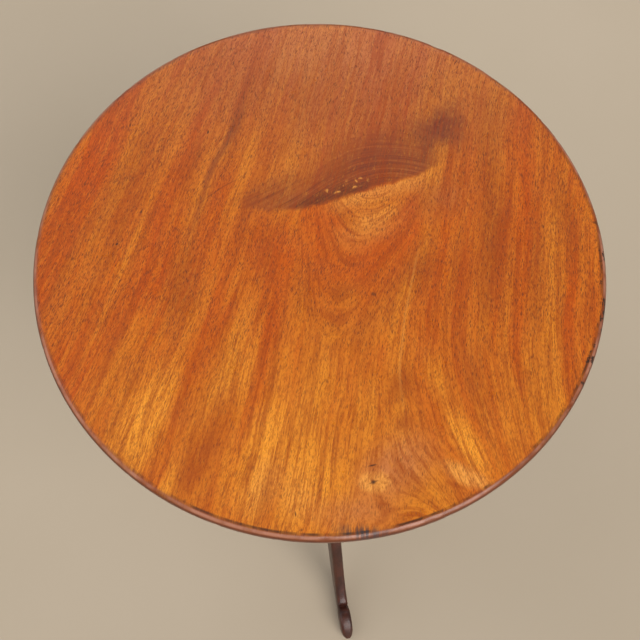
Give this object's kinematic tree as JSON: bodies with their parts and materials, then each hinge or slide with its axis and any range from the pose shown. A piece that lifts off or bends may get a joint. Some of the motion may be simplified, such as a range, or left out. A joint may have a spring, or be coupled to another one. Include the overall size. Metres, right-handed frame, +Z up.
{
  "type": "tilt top table",
  "caption": "Round tripod table whose top tilts upright on a hinge block, with a turned column, cabriole legs and a sliding catch.",
  "frame": {"origin": "on the floor, on the axis of the column", "axes": "+Z up, +X along the tilt axis and the grain of the top, -Y the way the top faces when it is tilted upright, +Y along the back leg"},
  "size_m": [0.6, 0.6, 0.7],
  "materials": {
    "top_wood": "polished figured mahogany, waxed",
    "base_wood": "dark polished mahogany",
    "under_wood": "unpolished, dry",
    "brass": "aged, dull",
    "iron": "dark forged iron"
  },
  "bodies": {
    "stand": {"column": "base_wood", "leg_back": "base_wood", "leg_left": "base_wood", "leg_right": "base_wood", "brace_plate": "iron", "brace_screw_back": "iron", "brace_screw_left": "iron", "brace_screw_right": "iron", "brace_screw_centre": "iron", "block": "under_wood", "tenon_wedge": "under_wood", "strike_plate": "brass", "strike_screw_left": "brass", "strike_screw_right": "brass"},
    "tilting_top": {"top_board": "top_wood", "bearer_left": "under_wood", "bearer_right": "under_wood", "bearer_screw_left_1": "iron", "bearer_screw_left_2": "iron", "bearer_screw_left_3": "iron", "bearer_screw_left_4": "iron", "bearer_screw_right_1": "iron", "bearer_screw_right_2": "iron", "bearer_screw_right_3": "iron", "bearer_screw_right_4": "iron", "catch_plate": "brass", "catch_strap_front": "brass", "catch_strap_rear": "brass", "catch_spring": "iron", "catch_screw_front_left": "brass", "catch_screw_front_right": "brass", "catch_screw_rear_left": "brass", "catch_screw_rear_right": "brass"},
    "catch_slider": {"catch_bolt": "brass", "catch_knob": "brass"}
  },
  "joints": [
    {"name": "top_tilt", "type": "hinge", "parent": "stand", "child": "tilting_top", "pos_m": [0, -0.052, 0.6685], "axis": [1, 0, 0], "range_deg": [0, 90]},
    {"name": "catch_bolt_slide", "type": "slide", "parent": "tilting_top", "child": "catch_slider", "axis": [0, -1, 0], "range_m": [0, 0.01]}
  ]
}
